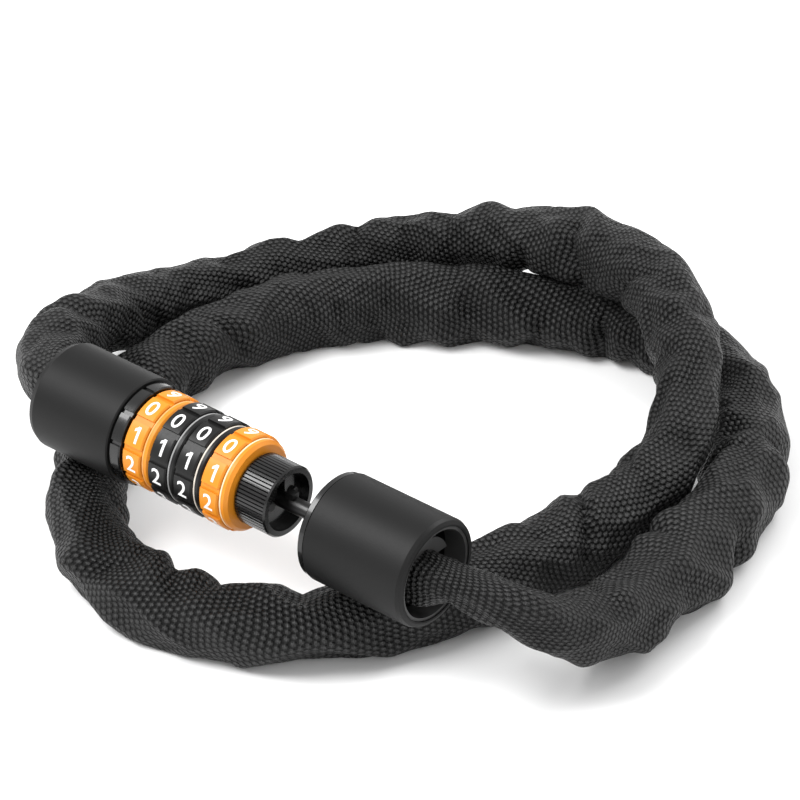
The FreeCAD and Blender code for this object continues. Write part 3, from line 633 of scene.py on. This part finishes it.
# %% Give every CAD part its finish
FINISHES = {
    coat: "housing_shell cap_shell",
    gloss: "index_ring knurled_nose nose_insert cap_front_ring cap_liner",
    mouth_painted_reflection: "cap_rim cap_core",
    zinc: "rear_insert",
    dark_steel: "spindle locking_pin pin_collar nose_screws",
    orange: "dial_1 dial_4",
    black: "dial_2 dial_3",
    steel: "detent_plungers thrust_washer spindle_screws housing_set_screw rear_anchor_pin "
           "cap_anchor_pin chain_links chain_tail_links",
    brass: "spacer_washers clutch_ring_1 clutch_ring_2 clutch_ring_3 clutch_ring_4",
    weave: "sleeve sleeve_tail",
}
finish_of = {name: finish for finish, names in FINISHES.items() for name in names.split()}
for name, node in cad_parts.items():
    node.data.materials.clear()
    node.data.materials.append(finish_of[name].material)
print(len(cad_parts), "CAD parts painted")

# %% [markdown]
# ## Numbers on the dials
# The figures are filled with white paint in shallow cuts. Text objects give their outlines; the flat
# figures are sliced into thin strips, so that they bend smoothly round the dial.

# %% Numbers
paint = Finish("white_figures", Specular_IOR_Level=0.4)
chalk = paint.grain(800, 3.0)
paint.set(Base_Color=paint.blend(chalk, grey(0.74), grey(0.86)), Roughness=0.5 + chalk * 0.15)
paint.bumped(chalk, 0.02 * MM, 0.5)
DIAL_RADIUS = 15.3 * MM
PAD_MIDDLE = 3.5 * MM
FIGURE_SIZE, FIGURE_FATTENED, FIGURE_HALF_DEPTH = 7.6 * MM, 0.06 * MM, 0.12 * MM
FIGURE_SUNK = 0.07 * MM  # below the surface of its pad
STRIPS = np.arange(-3 * MM, 3 * MM, 0.4 * MM)  # where a flat figure is cut across
NOUGHT_AT, FIGURE_TURN = 72, 36  # degrees round the dial


def add_flag(slab):
    """The short slanting stroke at the top of a one, joined to its stem."""
    left, top = min(v.co.x for v in slab.verts), max(v.co.y for v in slab.verts)
    low, high = min(v.co.z for v in slab.verts), max(v.co.z for v in slab.verts)
    shape = [(0.1, 0), (0.1, -1.15), (-1.1, -1.75), (-1.1, -0.85), (-0.35, -0.4), (-0.15, 0)]
    rims = [[slab.verts.new((left + x * MM, top + y * MM, z)) for x, y in shape] for z in (low, high)]
    slab.faces.new(rims[0])
    slab.faces.new(rims[1][::-1])
    for k in range(len(shape)):
        m = (k + 1) % len(shape)
        slab.faces.new((rims[0][k], rims[0][m], rims[1][m], rims[1][k]))


def flat_figure(text):
    """A figure as a thin slab, centred, in metres."""
    data = bpy.data.curves.new("figure", "FONT")
    data.body, data.size = text, FIGURE_SIZE
    data.align_x, data.align_y = "CENTER", "CENTER"
    data.offset, data.extrude, data.resolution_u = FIGURE_FATTENED, FIGURE_HALF_DEPTH, 6
    carrier = bpy.data.objects.new("figure", data)
    bpy.context.scene.collection.objects.link(carrier)
    bpy.context.view_layer.update()
    mesh = bpy.data.meshes.new_from_object(carrier.evaluated_get(bpy.context.evaluated_depsgraph_get()))
    bpy.data.objects.remove(carrier)
    slab = bmesh.new()
    slab.from_mesh(mesh)
    bmesh.ops.remove_doubles(slab, verts=slab.verts, dist=1e-6)
    if text == "1":
        add_flag(slab)
    high = [max(v.co[k] for v in slab.verts) for k in (0, 1)]
    low = [min(v.co[k] for v in slab.verts) for k in (0, 1)]
    for v in slab.verts:
        v.co.x -= (high[0] + low[0]) / 2
        v.co.y -= (high[1] + low[1]) / 2
    for cut_at in STRIPS:
        bmesh.ops.bisect_plane(slab, geom=slab.verts[:] + slab.edges[:] + slab.faces[:],
                               plane_co=(0, cut_at, 0), plane_no=(0, 1, 0))
    bpy.data.meshes.remove(mesh)
    return slab


def numbers_for(dial):
    """Ten figures round a dial, one on each pad, as one piece."""
    low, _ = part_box(f"dial_{dial}")
    whole = bmesh.new()
    for figure in range(10):
        slab = flat_figure(str(figure))
        turn = math.radians(NOUGHT_AT - FIGURE_TURN * figure)
        for v in slab.verts:
            around, out = turn + v.co.y / DIAL_RADIUS, DIAL_RADIUS + v.co.z - FIGURE_SUNK
            v.co = Vector((low.x + PAD_MIDDLE + v.co.x, AXIS_Y - out * math.cos(around),
                           AXIS_Z + out * math.sin(around)))
        part = bpy.data.meshes.new("part")
        slab.to_mesh(part)
        whole.from_mesh(part)
        bpy.data.meshes.remove(part)
        slab.free()
    bmesh.ops.recalc_face_normals(whole, faces=whole.faces)
    mesh = bpy.data.meshes.new(f"dial_{dial}_numbers")
    whole.to_mesh(mesh)
    whole.free()
    mesh.materials.append(paint.material)
    piece = bpy.data.objects.new(f"dial_{dial}_numbers", mesh)
    bpy.context.scene.collection.objects.link(piece)
    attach(piece, f"dial_{dial}_body")
    return piece


for dial in (1, 2, 3, 4):
    print(numbers_for(dial).name, "done")

# %% [markdown]
# Each dial has a narrow ring in the groove between its pads and its smooth flange, in a colour of its
# own. On dial 4 it is a cream painted line, and on dial 1 a lighter orange. On the black dials 2 and 3,
# the grey and the pale rings are painted highlights along the flange's edge.

# %% Rings in the dials' grooves: painted lines, and painted highlights on the black dials
GROOVE_MIDDLE, GROOVE_FLOOR = 7.4 * MM, 13.8 * MM
LINE_RADIUS, LINE_LIFT = 0.36 * MM, 0.32 * MM


def painted(name, low, high):
    """A dull colour with a fine speck in it, for a ring in a groove; on dials 2 and 3 it is a painted
    highlight.
    """
    made = Finish(name, Specular_IOR_Level=0.4)
    speck = made.grain(900, 3.0)
    made.set(Base_Color=made.blend(speck, low, high), Roughness=0.42 + speck * 0.15)
    made.bumped(speck, 0.02 * MM, 0.5)
    return made


LINE_COLOURS = {
    1: painted("apricot_line", (0.78, 0.36, 0.10, 1), (0.86, 0.44, 0.15, 1)),
    # Dials 2 and 3: painted highlights along the flange's edge, in grey and in a pale tone.
    2: painted("silver_line", grey(0.24), grey(0.34)),
    3: painted("pale_line", (0.62, 0.56, 0.48, 1), (0.74, 0.68, 0.60, 1)),
    4: painted("cream_line", (0.80, 0.62, 0.38, 1), (0.88, 0.72, 0.50, 1)),
}


def line_round(dial, stations=120, sides=8):
    """A thin rounded ring that fills the groove of a dial."""
    low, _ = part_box(f"dial_{dial}")
    points, faces = [], []
    for i in range(stations):
        turn = 2 * math.pi * i / stations
        for j in range(sides):
            lean = 2 * math.pi * (j + 0.5) / sides
            out = GROOVE_FLOOR + LINE_LIFT + LINE_RADIUS * math.sin(lean)
            points.append((low.x + GROOVE_MIDDLE + LINE_RADIUS * math.cos(lean),
                           AXIS_Y - out * math.cos(turn), AXIS_Z + out * math.sin(turn)))
            k, m = (i + 1) % stations, (j + 1) % sides
            faces.append((i * sides + j, k * sides + j, k * sides + m, i * sides + m))
    mesh = bpy.data.meshes.new(f"dial_{dial}_line")
    mesh.from_pydata(points, [], faces)
    mesh.polygons.foreach_set("use_smooth", [True] * len(faces))
    mesh.materials.append(LINE_COLOURS[dial].material)
    piece = bpy.data.objects.new(f"dial_{dial}_line", mesh)
    bpy.context.scene.collection.objects.link(piece)
    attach(piece, f"dial_{dial}_body")
    return piece


for dial in LINE_COLOURS:
    print(line_round(dial).name, "done")

# %% [markdown]
# ## Floor and light
# A white sweep and big soft lamps: the pale surroundings are what gives black parts their shape.

# %% Floor
floor_mesh = bpy.data.meshes.new("floor")
floor_mesh.from_pydata([(-6, -6, 0), (6, -6, 0), (6, 6, 0), (-6, 6, 0)], [], [(0, 1, 2, 3)])
floor = bpy.data.objects.new("floor", floor_mesh)
bpy.context.scene.collection.objects.link(floor)
sweep = Finish("white_sweep", Specular_IOR_Level=0.1)
shade = sweep.grain(3, 2.0)
sweep.set(Base_Color=sweep.blend(shade, grey(0.90), grey(0.93)), Roughness=0.9)
floor_mesh.materials.append(sweep.material)

# %% Lamps
world = bpy.data.worlds.new("studio")
bpy.context.scene.world = world
world.use_nodes = True
world.node_tree.nodes["Background"].inputs["Color"].default_value = (1, 1, 1, 1)
world.node_tree.nodes["Background"].inputs["Strength"].default_value = 0.9


def lamp(name, place, size, power):
    """A soft rectangular lamp that faces the lock."""
    data = bpy.data.lights.new(name, "AREA")
    data.shape, data.size, data.size_y, data.energy = "RECTANGLE", size[0], size[1], power
    made = bpy.data.objects.new(name, data)
    made.location = place
    made.rotation_euler = Vector(place).to_track_quat("Z", "Y").to_euler()
    bpy.context.scene.collection.objects.link(made)


lamp("key", (-0.5, -0.7, 1.1), (0.7, 0.7), 20)
lamp("fill", (1.0, -0.5, 0.7), (0.8, 0.8), 1.5)
lamp("back", (0.1, 1.0, 0.9), (1.0, 0.5), 11)
bpy.context.scene.view_settings.view_transform = "Standard"
print("lit")
